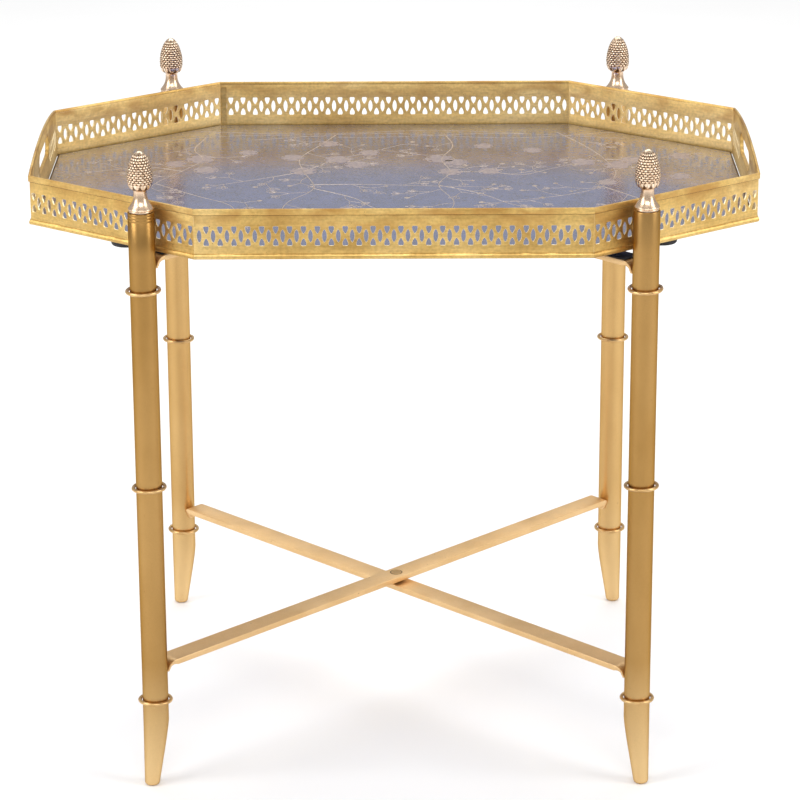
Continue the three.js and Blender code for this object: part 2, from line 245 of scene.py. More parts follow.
def matte_gold():
    """The same paint on the flat bars, where it is thicker, paler and duller."""
    s = Surface("matte_gold_paint", 1.0, 0.5)
    broad = s.ramp(s.noise(18, 4), (0.3, (0.8, 0.53, 0.25)), (0.7, (0.93, 0.65, 0.34)))
    grain = s.ramp(s.noise(2200, 2), (0.35, 0.86), (0.65, 1.0))
    toned = s.mix(1.0, broad, grain, "MULTIPLY")
    specks = s.ramp(s.noise(260, 2), (0.74, 0.0), (0.78, 0.8))
    s.colour(s.mix(specks, toned, (0.24, 0.12, 0.04)))
    s.roughness(s.ramp(s.noise(80, 4), (0.3, 0.44), (0.7, 0.56)))
    return s.bumps((s.noise(190, 3), 0.2, 0.2), (s.noise(1700, 2), 0.4, 0.06)).material


def satin_brass():
    """The wire of the rings and the middle rivets."""
    s = Surface("satin_brass_wire", 1.0, 0.32)
    s.colour(s.ramp(s.noise(90, 4), (0.3, (0.55, 0.33, 0.13)), (0.7, (0.74, 0.5, 0.23))))
    s.roughness(s.ramp(s.noise(300, 3), (0.3, 0.27), (0.7, 0.38)))
    return s.bumps((s.noise(700, 3), 0.25, 0.07)).material


def antique_bronze():
    """Cast and antiqued: dark in the recesses and rubbed bright on the high points."""
    s = Surface("antique_bronze_cast", 1.0, 0.27)
    cast = s.ramp(
        s.attribute("relief"),
        (0.0, (0.05, 0.025, 0.012)), (0.3, (0.36, 0.23, 0.14)), (0.6, (0.76, 0.55, 0.38)),
        (1.0, (1.0, 0.88, 0.7)),
    )
    mottle = s.ramp(s.noise(120, 2), (0.3, 0.9), (0.62, 1.0))
    s.colour(s.mix(1.0, cast, mottle, "MULTIPLY"))
    s.roughness(s.ramp(s.noise(420, 3), (0.3, 0.2), (0.7, 0.32)))
    return s.bumps((s.noise(900, 3), 0.08, 0.04)).material


def gallery_brass(name, metallic, dark, middle, light):
    """Lacquered and aged sheet: faint streaks, a mottled skin and browner stains near the rim."""
    s = Surface(name, metallic, 0.42).along_sheet()
    tone = s.ramp(s.noise(11, 5, (1, 2, 1)), (0.3, dark), (0.5, middle), (0.72, light))
    streaks = s.ramp(s.noise(70, 5, (1, 9, 1)), (0.33, 0.84), (0.62, 1.0))
    brushed = s.mix(1.0, tone, streaks, "MULTIPLY")
    mottle = s.ramp(s.noise(330, 4), (0.36, 0.82), (0.6, 1.0))
    skin = s.mix(1.0, brushed, mottle, "MULTIPLY")
    height = s.node("ShaderNodeSeparateXYZ")
    s.link(s.place, height.inputs[0])
    rim = s.ramp(height.outputs["Y"], (0.018, 0.15), (0.046, 0.95))
    patches = s.ramp(s.noise(26, 5, (1, 1.8, 1), 0.8), (0.44, 0.0), (0.66, 1.0))
    stained = s.mix(s.mix(1.0, rim, patches, "MULTIPLY"), skin, (0.46, 0.25, 0.07))
    specks = s.ramp(s.noise(420, 3), (0.7, 0.0), (0.76, 0.8))
    s.colour(s.mix(specks, stained, (0.2, 0.1, 0.03)))
    s.roughness(s.ramp(s.noise(80, 5, (1, 6, 1)), (0.3, 0.36), (0.7, 0.5)))
    return s.bumps((s.noise(22, 3), 0.3, 0.8), (s.noise(300, 4, (1, 3, 1)), 0.25, 0.08)).material


def bare_edge_brass_with_highlight():
    """The rims of the pierced holes and the line of each soldered corner: bare brass, made paler still as a
    painted highlight where the bevels catch the light.
    """
    s = Surface("bare_edge_brass_with_highlight", 1.0, 0.4)
    s.colour(s.ramp(s.noise(500, 3), (0.3, (0.86, 0.68, 0.38)), (0.7, (1.0, 0.88, 0.62))))
    return s.bumps((s.noise(1500, 2), 0.3, 0.06)).material


def painted_crease_shade():
    """Painted shade: a near-black brown that stands for the shadow in the crease under the hem, round the
    edge of the floor, round the middle rivets' heads and on their spacing washers.
    """
    s = Surface("painted_crease_shade", 0.5, 0.6)
    s.colour(s.ramp(s.noise(240, 4), (0.3, (0.035, 0.02, 0.008)), (0.7, (0.12, 0.065, 0.02))))
    return s.bumps((s.noise(900, 3), 0.4, 0.08)).material


def navy_lacquer():
    """Dark metallic ground, crackled with fine veins, under a full clear coat of lacquer."""
    s = Surface("navy_lacquer_floor", 0.92, 0.15)
    broad = s.ramp(s.noise(11, 4), (0.3, (0.1, 0.13, 0.34)), (0.7, (0.15, 0.185, 0.44)))
    veins = s.ramp(s.cracks(230, 0.007), (0.0, 1.0), (0.11, 0.0))
    broken = s.ramp(s.noise(75, 3), (0.4, 0.0), (0.58, 0.9))
    s.colour(s.mix(s.mix(1.0, veins, broken, "MULTIPLY"), broad, (0.025, 0.03, 0.08)))
    s.roughness(s.ramp(s.noise(200, 3), (0.3, 0.2), (0.7, 0.3)))
    s.bumps((s.noise(420, 4), 0.26, 0.16), (s.noise(2400, 2), 0.12, 0.04))
    s.shader.inputs["Coat Weight"].default_value = 1.0
    s.shader.inputs["Coat IOR"].default_value = 1.8
    s.shader.inputs["Coat Roughness"].default_value = 0.16
    return s.material


def rose_gold_paint(name, dark, light):
    s = Surface(name, 0.55, 0.36)
    s.colour(s.ramp(s.noise(240, 4), (0.3, dark), (0.7, light)))
    return s.bumps((s.noise(1300, 3), 0.4, 0.08)).material


def black_rubber():
    s = Surface("black_rubber_pads", 0.0, 0.75)
    s.colour(s.ramp(s.noise(300, 4), (0.3, (0.008, 0.008, 0.009)), (0.7, (0.022, 0.022, 0.025))))
    s.roughness(s.ramp(s.noise(120, 3), (0.3, 0.6), (0.7, 0.85)))
    return s.bumps((s.noise(1600, 3), 0.5, 0.1)).material


def painted_floor():
    """The pale studio floor."""
    s = Surface("studio_floor_paint", 0.0, 0.9)
    return s.colour(s.ramp(s.noise(2), (0.3, 0.9), (0.7, 0.92))).material


GOLD = satin_gold("satin_gold_paint", (0.41, 0.225, 0.065), (0.51, 0.3, 0.105))
# A paler copy of the same paint for the rear legs: a painted highlight, because the rear legs stand brighter
# in the light than the front ones.
REAR_LEG_LIT_GOLD = satin_gold("satin_gold_paint_lit_copy", (0.6, 0.36, 0.13), (0.74, 0.48, 0.2))
BAR_GOLD = matte_gold()
WIRE = satin_brass()
BRONZE = antique_bronze()
OUTSIDE = gallery_brass(
    "gallery_brass_outside", 0.9, (0.5, 0.29, 0.075), (0.76, 0.51, 0.17), (0.88, 0.63, 0.26)
)
# The inner faces of the same brass sheet get a paler, less metallic copy: a painted highlight that lightens
# the inside of the gallery.
GALLERY_INSIDE_LIT = gallery_brass(
    "gallery_brass_inside_lit_copy", 0.45, (0.62, 0.38, 0.11), (0.86, 0.59, 0.21), (0.95, 0.7, 0.3)
)
# Bare edge brass, partly a painted highlight on the rims and corners.
EDGE_BRASS_HIGHLIGHT = bare_edge_brass_with_highlight()
# Painted shade for the crease under the hem, the floor's edge and the middle rivets.
PAINTED_SHADE = painted_crease_shade()
LACQUER = navy_lacquer()
BLOSSOM = rose_gold_paint("blossom_paint", (0.28, 0.24, 0.28), (0.38, 0.32, 0.34))
LINE = rose_gold_paint("line_paint", (0.36, 0.29, 0.25), (0.62, 0.52, 0.45))
RUBBER = black_rubber()


# ---- meshes -------------------------------------------------------------------------------------

def to_object(name, bm, *materials):
    """Closes the work on a mesh: normals outward, smooth faces, sharp edges kept sharp."""
    bmesh.ops.remove_doubles(bm, verts=bm.verts, dist=1e-7)
    bmesh.ops.recalc_face_normals(bm, faces=bm.faces)
    for face in bm.faces:
        face.smooth = True
    for edge in bm.edges:
        if len(edge.link_faces) == 2 and edge.calc_face_angle(0) > SHARP_ANGLE:
            edge.smooth = False
    mesh = bpy.data.meshes.new(name)
    bm.to_mesh(mesh)
    bm.free()
    for material in materials:
        mesh.materials.append(material)
    piece = bpy.data.objects.new(name, mesh)
    bpy.context.scene.collection.objects.link(piece)
    return piece


def add_loft(bm, loops, closed=False):
    """A skin through loops of points in metres; its ends are capped unless it closes on itself."""
    rows = [[bm.verts.new(point) for point in loop] for loop in loops]
    count = len(rows[0])
    pairs = list(zip(rows, rows[1:]))
    if closed:
        pairs.append((rows[-1], rows[0]))
    else:
        bm.faces.new(reversed(rows[0]))
        bm.faces.new(rows[-1])
    for low, high in pairs:
        for i in range(count):
            after = (i + 1) % count
            bm.faces.new((low[i], low[after], high[after], high[i]))


def circle_points(radius, height, sides=48, shift=0.0):
    turns = (2 * math.pi * i / sides for i in range(sides))
    return [Vector((shift + radius * math.cos(a), radius * math.sin(a), height)) * MM for a in turns]


def turned(name, outline, material, sides=40):
    """A turned piece about Z from (radius, height) pairs, bottom to top, both ends on the axis."""
    bm = bmesh.new()
    add_loft(bm, [circle_points(max(radius, 1e-4), height, sides) for radius, height in outline])
    return to_object(name, bm, material)


def settle(piece, body, slot, *nodes):
    """Puts a finished piece on its body in place of its CAD nodes."""
    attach(piece, body)
    if nodes:
        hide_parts(*nodes)


# ---- stand --------------------------------------------------------------------------------------

def leg_loops(grooved, top):
    """Sections of the tube from its foot up, then down inside its open top."""
    loops = []
    for part in (0, 0.2, 0.4, 0.6, 0.8, 1):
        angle = part * math.pi / 2
        height = FOOT_ROUND * (1 - math.cos(angle))
        loops.append((height, FOOT_TIP_R - FOOT_ROUND * (1 - math.sin(angle)), FOOT_TIP_SHIFT))
    for step in range(1, 17):
        part = step / 16
        height = FOOT_ROUND + (FOOT_TAPER_HEIGHT + FOOT_BLEND - FOOT_ROUND) * part
        ease = min(1, part * 1.08)
        ease = ease - 0.08 * ease ** 6
        full = ease / 0.92
        loops.append((height, FOOT_TIP_R + (TUBE_R - FOOT_TIP_R) * full, FOOT_TIP_SHIFT * (1 - full)))
    loops += [(height, TUBE_R, 0) for height in range(100, 560, 20)]
    if grooved:
        for drop in sorted(GROOVE_DROPS, reverse=True):
            for away, depth in ((-0.8, 0), (-0.35, GROOVE_DEPTH), (0.35, GROOVE_DEPTH), (0.8, 0)):
                loops.append((top - drop + away, TUBE_R - depth, 0))
    loops += [(top - 0.9, TUBE_R, 0), (top - 0.25, TUBE_R - 0.25, 0), (top, TUBE_R - 0.8, 0)]
    bore = TUBE_R - TUBE_WALL
    return loops + [(top, bore, 0), (top - 22, bore, 0)]


def make_leg(place, body):
    spot = centre(f"ring_{place}_middle")
    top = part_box(f"leg_{place}")[1].z / MM
    bm = bmesh.new()
    sections = leg_loops(place == "front_left", top)
    add_loft(bm, [circle_points(radius, height, 56, shift) for height, radius, shift in sections])
    outward = math.atan2(spot.y, spot.x)
    bm.transform(Matrix.Translation((spot.x, spot.y, 0)) @ Matrix.Rotation(outward, 4, "Z"))
    # The rear tubes take the paler copy of the paint, which is painted light on the same paint.
    paint = REAR_LEG_LIT_GOLD if place.startswith("rear") else GOLD
    settle(to_object(f"tube_{place}", bm, paint), body, "satin_gold", f"leg_{place}")


def make_ring(place, level, body):
    """A bent wire ring, not quite level, with a soldered joint."""
    spot = centre(f"ring_{place}_{level}")
    joint = rng.uniform(0, 2 * math.pi)
    sides = 72
    loops = []
    for i in range(sides):
        turn = 2 * math.pi * i / sides
        away = (turn - joint + math.pi) % (2 * math.pi) - math.pi
        wire = RING_WIRE_R * (1 + 0.16 * math.exp(-((away / 0.09) ** 2)))
        wave = 0.12 * math.sin(2 * turn + joint)
        out = Vector((math.cos(turn), math.sin(turn), 0))
        middle = out * (RING_R + wave)
        loops.append([
            (middle + out * wire * math.cos(a) + Vector((0, 0, wire * math.sin(a)))) * MM
            for a in (2 * math.pi * k / 14 for k in range(14))
        ])
    bm = bmesh.new()
    add_loft(bm, loops, closed=True)
    tilt = Matrix.Rotation(math.radians(rng.uniform(-2.2, 2.2)), 4, "X")
    swing = Matrix.Rotation(math.radians(rng.uniform(-2.2, 2.2)), 4, "Y")
    bm.transform(Matrix.Translation(spot) @ tilt @ swing)
    settle(to_object(f"wire_{place}_{level}", bm, WIRE), body, "polished_brass", f"ring_{place}_{level}")


FINIAL_COLUMNS = 18
FINIAL_ROWS = 12
FINIAL_LEAVES = 10
CONE_START = 21.5
LEAF_TOP = 27.5
CAP_START = 55  # the smooth cap above the last row of scales
CONE_TOP = 57.5
BEAD_HEIGHT = 0.9
NECK_RELIEF = 0.62  # tone of the smooth neck, on the same scale as the relief of the cone


def bezier(points, part):
    a, b, c, d = points
    rest = 1 - part
    return rest ** 3 * a + 3 * rest ** 2 * part * b + 3 * rest * part ** 2 * c + part ** 3 * d


def finial_outline():
    """(radius, height, distance along the cone or None) up the finial, finely spaced."""
    rows = [(0, 0, None), (10.8, 0, None), (11.3, 0.3, None), (11.5, 1.1, None), (11.2, 1.8, None)]
    rows += [(11.5, 2.2, None), (11.9, 2.5, None), (12.0, 3.1, None), (11.7, 3.6, None)]
    for step in range(1, 19):
        part = step / 18
        rows.append((bezier((11.4, 8.6, 6.0, 6.2), part), bezier((3.9, 7.4, 10.5, 19.6), part), None))
    rows += [(6.7, 20.6, None), (7.6, 21.2, None)]
    steps = 150
    for step in range(steps + 1):
        part = step / steps
        radius = bezier((8.4, 15.9, 10.4, 0), part)
        height = bezier((CONE_START, 26.5, CONE_TOP - 0.5, CONE_TOP), part)
        rows.append((radius, height, part))
    return rows


def bead_relief(turn, height):
    """How far the cone's surface stands out at a point, from 0 in the grooves to 1 on a scale."""
    if height < LEAF_TOP:
        side = (turn / (2 * math.pi) * FINIAL_LEAVES) % 1 - 0.5
        rise = (height - CONE_START) / (LEAF_TOP - CONE_START)
        width = 0.47 * max(0.0, min(1, rise * 1.5)) ** 0.6
        if abs(side) > width or width == 0:
            return 0.1
        across = abs(side) / width
        return 0.45 + 0.55 * (1 - across ** 2) ** 0.5 - 0.35 * math.exp(-((side / 0.05) ** 2))
    rise = (height - LEAF_TOP) / (CAP_START - LEAF_TOP)
    if rise >= 1:
        return 0.85
    row = (1 - (1 - rise) ** 1.12) * FINIAL_ROWS
    level = int(row)
    up = (row - level - 0.5) * 2
    side = ((turn / (2 * math.pi) * FINIAL_COLUMNS + 0.5 * (level % 2)) % 1 - 0.5) * 2
    inside = 1 - (side / 0.96) ** 2 * 0.95 - (up / 0.98) ** 2 * 0.85
    return max(0.0, inside) ** 0.5


def finial_mesh():
    """A pine cone of bead-like scales over a band of leaves, on a waisted neck."""
    sides = 168
    bm = bmesh.new()
    relief_layer = bm.verts.layers.float.new("relief")
    rows = []
    for radius, height, part in finial_outline():
        row = []
        for i in range(sides):
            turn = 2 * math.pi * i / sides
            relief = NECK_RELIEF if part is None else bead_relief(turn, height)
            lift = 0 if part is None else (relief - 0.75) * BEAD_HEIGHT * min(1, radius / 5)
            swell = max(1e-4, radius + lift)
            if part is not None:
                swell += 0.2 * noise.noise((math.cos(turn) * 3, math.sin(turn) * 3, height * 0.4))
                wear = noise.noise((math.cos(turn) * 6, math.sin(turn) * 6, height * 0.7))
                relief = min(1, max(0, relief * (0.82 + 0.5 * wear)))
            vert = bm.verts.new(Vector((swell * math.cos(turn), swell * math.sin(turn), height)) * MM)
            vert[relief_layer] = relief
            row.append(vert)
        rows.append(row)
    for low, high in zip(rows, rows[1:]):
        for i in range(sides):
            after = (i + 1) % sides
            bm.faces.new((low[i], low[after], high[after], high[i]))
    piece = to_object("finial_pattern", bm, BRONZE)
    mesh = piece.data
    bpy.data.objects.remove(piece)
    return mesh


def make_finial(place, body, mesh):
    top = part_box(f"finial_{place}")[1].z
    spot = centre(f"finial_{place}")
    piece = bpy.data.objects.new(f"pine_cone_{place}", mesh)
    bpy.context.scene.collection.objects.link(piece)
    turn = Matrix.Rotation(rng.uniform(0, math.pi), 4, "Z")
    piece.matrix_world = Matrix.Translation((spot.x, spot.y, top - CONE_TOP * MM)) @ turn
    settle(piece, body, "antique_bronze", f"finial_{place}")


def bar_section(width, thickness, round_off):
    """Points round the bar's section: (across, off the centre face)."""
    points = []
    for corner in range(4):
        sx = (1, -1, -1, 1)[corner]
        sz = (1, 1, -1, -1)[corner]
        for step in range(4):
            angle = math.pi / 2 * (corner + step / 3)
            points.append((
                sx * (width / 2 - round_off) + round_off * math.cos(angle),
                sz * (thickness / 2 - round_off) + round_off * math.sin(angle),
            ))
    return points


def bar_stations(reach, thick):
    """Along the bar's top face from one tab to the other: (x, z, tilt, thickness, width)."""
    tab = ((0, 5.5), (0.4, 8.2), (1.4, TAB_END), (3, 11), (TAB_DROP - BEND_R, TAB_START))
    half = [(-reach, up - TAB_DROP, 0.0, TAB_THICK, width) for up, width in tab]
    steps = 8
    for step in range(1, steps + 1):
        part = step / steps
        tilt = part * math.pi / 2
        x = -reach + BEND_R * (1 - math.cos(tilt))
        z = -BEND_R * (1 - math.sin(tilt))
        width = TAB_START + (BAR_WIDTH - TAB_START) * min(1, part * 1.4)
        half.append((x, z, tilt, TAB_THICK + (thick - TAB_THICK) * part, width))
    half.append((-reach / 2, 0, math.pi / 2, thick, BAR_WIDTH))
    mirrored = [(-x, z, math.pi - tilt, t, w) for x, z, tilt, t, w in reversed(half)]
    return half + mirrored


def make_bar(letter, level, ends):
    node = f"bar_{letter}_{level}"
    ring = centre(f"ring_{ends[0]}_middle")
    heading = math.atan2(ring.y, ring.x)
    reach = Vector((ring.x, ring.y)).length / MM - TUBE_R - 0.3
    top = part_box(node)[1].z
    bm = bmesh.new()
    loops = []
    for x, z, tilt, thick, width in bar_stations(reach, BAR_THICK[level]):
        normal = Vector((-math.cos(tilt), 0, math.sin(tilt)))
        middle = Vector((x, 0, z)) - normal * thick / 2
        loops.append([
            (middle + Vector((0, across, 0)) + normal * off) * MM
            for across, off in bar_section(width, thick, 0.8)
        ])
    add_loft(bm, loops)
    bm.transform(Matrix.Translation((0, 0, top)) @ Matrix.Rotation(heading, 4, "Z"))
    body = f"frame_{letter}"
    settle(to_object(f"flat_{node}", bm, BAR_GOLD), body, "satin_gold", node)
    for end in ends:
        make_tab_rivet(end, level, body)
        if level == "upper":
            make_strip(end, body)


def make_tab_rivet(end, level, body):
    node = f"tab_rivet_{end}_{level}"
    spot = centre(node)
    outward = Vector((spot.x, spot.y, 0)).normalized()
    low = min(vert.co.dot(outward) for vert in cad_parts[node].data.vertices)
    outline = [(0, 0), (1.0, 0.1), (2.0, 0.45), (2.8, 1.0), (RIVET_HEAD_R, 1.6), (RIVET_HEAD_R, 1.95)]
    outline += [(2, 2.1), (2, 8.8), (0, 8.8)]
    piece = turned(f"dome_{node}", outline, GOLD, 28)
    aim = outward.to_track_quat("Z", "Y").to_matrix().to_4x4()
    piece.matrix_world = Matrix.Translation(outward * low + Vector((0, 0, spot.z))) @ aim
    settle(piece, body, "satin_gold", node)


def make_strip(end, body):
    """A thin black strip with rounded edges, stuck on the outer stretch of an upper bar."""
    node = f"bar_strip_{end}"
    spot = centre(node)
    steps = 24
    loops = []
    for step in range(steps + 1):
        x = STRIP_START + (STRIP_END - STRIP_START) * step / steps
        near_end = min(x - STRIP_START, STRIP_END - x)
        narrow = STRIP_CORNER * max(0.0, 1 - near_end / STRIP_CORNER)
        loops.append([
            Vector((x * MM, across * MM, spot.z + off * MM))
            for across, off in bar_section(STRIP_WIDTH - narrow, 0.9, 0.35)
        ])
    bm = bmesh.new()
    add_loft(bm, loops)
    bm.transform(Matrix.Rotation(math.atan2(spot.y, spot.x), 4, "Z"))
    settle(to_object(f"black_{node}", bm, RUBBER), body, "black_rubber", node)


def make_pivot(level):
    """The rivet and the spacing washer at a crossing, with painted shadow: a thin dark disc round the rivet's
    head, and the washer in the same painted shade.
    """
    node = f"pivot_rivet_{level}"
    low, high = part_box(node)
    tall = (high.z - low.z) / MM
    outline = [(0, 0), (3.0, 0.3), (4.6, 1.0), (5.7, 2.0), (5.9, 2.4), (3, 2.5), (3, tall - 2.4)]
    outline += [(5.1, tall - 0.9), (5.6, tall - 0.3), (5.4, tall), (4.6, tall)]
    outline += [(3.4, tall - 0.12), (0, tall - 0.14)]
    rivet = turned(f"crossing_{node}", outline, WIRE)
    rivet.matrix_world = Matrix.Translation((0, 0, low.z + RIVET_PROUD * MM))
    settle(rivet, "frame_a", "polished_brass", node)
    # Painted shadow: a thin dark disc just under the rivet's head and wider than it, which stands for the
    # shade round the head.
    rivet_shadow_disc = turned(f"painted_shadow_disc_{level}", [(0, 0), (6.4, 0), (6.4, 0.1), (0, 0.1)], PAINTED_SHADE)
    rivet_shadow_disc.matrix_world = Matrix.Translation((0, 0, high.z))
    settle(rivet_shadow_disc, "frame_a", "polished_brass")
    node = f"pivot_washer_{level}"
    low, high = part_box(node)
    thick = (high.z - low.z) / MM
    outer = (high.x - low.x) / 2 / MM
    loops = []
    bore = WASHER_BORE_R
    for radius, height in (
        (bore, 0.2), (bore + 0.2, 0), (outer - 0.3, 0), (outer, 0.3), (outer, thick - 0.3),
        (outer - 0.3, thick), (bore + 0.2, thick), (bore, thick - 0.2),
    ):
        loops.append(circle_points(radius, height))
    bm = bmesh.new()
    add_loft(bm, loops, closed=True)
    # The washer takes the painted shade, which stands for the dark gap between the bars.
    washer = to_object(f"spacer_{node}", bm, PAINTED_SHADE)
    washer.matrix_world = Matrix.Translation((0, 0, low.z))
    settle(washer, "frame_a", "satin_gold", node)


# ---- tray gallery -------------------------------------------------------------------------------

floor_low, floor_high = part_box("tray_floor")
TRAY_BOTTOM = floor_low.z / MM
FLOOR_TOP = floor_high.z / MM
RIM_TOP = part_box("gallery_front")[1].z / MM
WALL = RIM_TOP - TRAY_BOTTOM  # height of the gallery
SLOT_CENTRE = SLOT_HEIGHT_ON_STAND - TRAY_BOTTOM  # above the underside of the tray


def tray_corners():
    """The outside corners of the sheet, anticlockwise from the rear end of the right side."""
    half_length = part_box("gallery_right_end")[1].x / MM - SLOT_RIM_OUT
    half_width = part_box("gallery_rear")[1].y / MM - LIP_OUT
    end_half = 124.5
    side_half = 184.5
    quarter = [(half_length, end_half), (side_half, half_width)]
    mirrored = [(-x, y) for x, y in reversed(quarter)]
    rear = quarter + mirrored
    return [Vector(point) for point in rear + [(-x, -y) for x, y in rear]]


CORNERS = tray_corners()


def outward_normal(start, end):
    along = (end - start).normalized()
    return Vector((along.y, -along.x))


def offset_corner(index, distance):
    """A corner moved out so that both of its sides move out by the same distance."""
    corner = CORNERS[index % 8]
    before = outward_normal(CORNERS[(index + 7) % 8], corner)
    after = outward_normal(corner, CORNERS[(index + 1) % 8])
    mitre = (before + after).normalized()
    return corner + mitre * (distance / mitre.dot(before))


def lens(x):
    """A pointed ellipse, as (along, up) points."""
    low, high = LENS_SPAN
    half = (high - low) / 2
    steps = 9
    side = [(1 - (2 * i / steps - 1) ** 2, (2 * i / steps - 1) * half) for i in range(steps + 1)]
    right = [(x + LENS_WIDTH / 2 * bulge ** 0.7, low + half + y) for bulge, y in side]
    left = [(2 * x - px, py) for px, py in reversed(right[1:-1])]
    return right + left


def drop(x, point, base):
    """A drop from its point to its nearly flat base."""
    steps = 10
    side = []
    for i in range(steps + 1):
        part = i / steps
        swell = math.sin(math.pi / 2 * min(1, part / 0.8)) ** 0.75
        rounding = 1 - 0.3 * max(0.0, (part - 0.8) / 0.2) ** 3
        side.append((DROP_WIDTH / 2 * swell * rounding, point + (base - point) * part))
    right = [(x + width, y) for width, y in side]
    left = [(x - width, y) for width, y in reversed(side[1:])]
    return right + left


def holes_for(half, is_end):
    """The pierced band of one panel, kept clear of its corners and of the hand hole."""
    count = int(half / PITCH) + 1
    clear = SLOT_LENGTH / 2 + SLOT_RIM_THICK + 1.5 if is_end else -LENS_WIDTH
    found = []

    def fits(x, width):
        return clear < abs(x) - width / 2 and abs(x) + width / 2 < half - HOLE_MARGIN

    for k in range(-count, count + 1):
        if fits(k * PITCH, LENS_WIDTH):
            found.append(lens(k * PITCH))
        between = (k + 0.5) * PITCH
        if fits(between, DROP_WIDTH):
            found += [drop(between, *UPPER_DROP_SPAN), drop(between, *LOWER_DROP_SPAN)]
    return found


def grown(points, edge):
    """A hole's outline moved out by the bevel that will fill it in again."""
    xs, ys = zip(*points)
    middle = ((min(xs) + max(xs)) / 2, (min(ys) + max(ys)) / 2)
    scale = [1 + 2 * edge / (max(values) - min(values)) for values in (xs, ys)]
    return [tuple(m + (v - m) * f for v, m, f in zip(point, middle, scale)) for point in points]


def stadium(length, height, steps=10):
    """(along, up) points round a slot with round ends, centred on the origin."""
    radius = height / 2
    straight = length / 2 - radius
    points = []
    for side, start in ((1, -math.pi / 2), (-1, math.pi / 2)):
        for i in range(steps + 1):
            angle = start + math.pi * i / steps
            points.append((side * straight + radius * math.cos(angle), radius * math.sin(angle)))
    return points


# Slot 1 holds the edge brass with its painted highlight, slot 2 the paler inside copy and slot 3 the painted
# shade.
EDGE_SLOT, INSIDE_SLOT, PAINTED_SHADE_SLOT = 1, 2, 3  # slot 0 is the outside of the sheet


def filled_sheet(outline, holes, thickness, edge):
    """A flat sheet with holes, in (along, up, out) millimetres, its outer face at out = 0."""
    curve = bpy.data.curves.new("sheet_outline", "CURVE")
    curve.dimensions = "2D"
    curve.fill_mode = "BOTH"
    curve.extrude = thickness / 2 - edge
    curve.bevel_depth = edge
    curve.bevel_resolution = 1
    for points in (outline, *(grown(hole, edge) for hole in holes)):
        spline = curve.splines.new("POLY")
        spline.points.add(len(points) - 1)
        for target, (x, y) in zip(spline.points, points):
            target.co = (x, y, 0, 1)
        spline.use_cyclic_u = True
    holder = bpy.data.objects.new("sheet_outline", curve)
    bpy.context.scene.collection.objects.link(holder)
    bpy.context.view_layer.update()
    depsgraph = bpy.context.evaluated_depsgraph_get()
    mesh = bpy.data.meshes.new_from_object(holder.evaluated_get(depsgraph))
    bpy.data.objects.remove(holder)
    bpy.data.curves.remove(curve)
    bm = bmesh.new()
    bm.from_mesh(mesh)
    bpy.data.meshes.remove(mesh)
    bmesh.ops.remove_doubles(bm, verts=bm.verts, dist=1e-3)
    bmesh.ops.translate(bm, verts=bm.verts, vec=(0, 0, -thickness / 2))
    for face in bm.faces:
        # The side faces round each hole and at each end take the edge brass with its painted highlight.
        if abs(face.normal.z) < 0.98:
            face.material_index = EDGE_SLOT
        # Faces turned inward take the paler inside copy of the brass, a painted highlight.
        elif face.normal.z < 0:
            face.material_index = INSIDE_SLOT
    return bm


HEM_SECTION = (  # (out, height below the rim), round the folded hem and the crease under it
    (-SHEET / 2, HEM_HEIGHT + 0.4), (-SHEET / 2, 3.0), (-SHEET - 0.02, 2.9), (-SHEET - 0.02, 0.7),
    (-SHEET + 0.25, 0.2), (-SHEET / 2, 0.0), (0.4, 0.0), (HEM_OUT - 0.35, 0.2), (HEM_OUT, 0.7),
    (HEM_OUT - 0.1, 2.6), (HEM_OUT, HEM_HEIGHT - 1.0), (HEM_OUT - 0.25, HEM_HEIGHT - 0.3),
    (HEM_OUT - 0.7, HEM_HEIGHT), (0.05, HEM_HEIGHT + 0.1), (0.05, HEM_HEIGHT + 0.4),
)
LIP_SECTION = (  # (out, height above the underside), round the rolled bead
    (-SHEET - 0.02, 0.5), (-SHEET + 0.35, 0.0), (0.2, 0.0), (LIP_OUT - 0.7, 0.25), (LIP_OUT - 0.2, 0.9),
    (LIP_OUT, 1.8), (LIP_OUT, 2.7), (LIP_OUT - 0.25, 3.6), (LIP_OUT - 0.8, 4.5), (0.4, LIP_HEIGHT),
    (0.0, LIP_HEIGHT + 0.1), (-SHEET / 2, 3.9), (-SHEET / 2, 2.4), (-SHEET - 0.02, 2.3),
)


def arch_lift(x, half, rise):
    return rise * (1 - (x / half) ** 2)


def add_edging(bm, half, rise):
    """The folded hem along the rim and the hammered bead along the bottom of one panel."""
    steps = max(24, int(half / 2))
    hem, lip = [], []
    phase = rng.uniform(0, 50)
    for step in range(steps + 1):
        x = -half + 2 * half * step / steps
        top = WALL + arch_lift(x, half, rise)
        sway = 0.12 * noise.noise((x * 0.05, phase, 0))
        dent = 0.3 * noise.noise((x * 0.12, phase, 9)) + 0.14 * noise.noise((x * 0.45, phase, 3))
        near_corner = math.exp(-(((half - abs(x)) / 2.2) ** 2))
        hem.append([
            Vector((x, top - down + (sway if down > 5 else 0), out)) for out, down in HEM_SECTION
        ])
        push = dent * 0.7 - 0.2 + 0.2 * near_corner
        lip.append([
            Vector((x, up + dent * 0.6, out + push) if out > 0.5 else (x, up, out)) for out, up in LIP_SECTION
        ])
    before = len(bm.faces)
    add_loft(bm, hem)
    add_loft(bm, lip)
    bm.faces.ensure_lookup_table()
    # Faces in the crease under the hem take the painted shade, which stands for the hem's shadow.
    for face in bm.faces[before:]:
        spot = face.calc_center_median()
        under_hem = WALL + arch_lift(spot.x, half, rise) - spot.y > HEM_HEIGHT - 0.1
        if under_hem and spot.y > WALL / 2:
            face.material_index = PAINTED_SHADE_SLOT


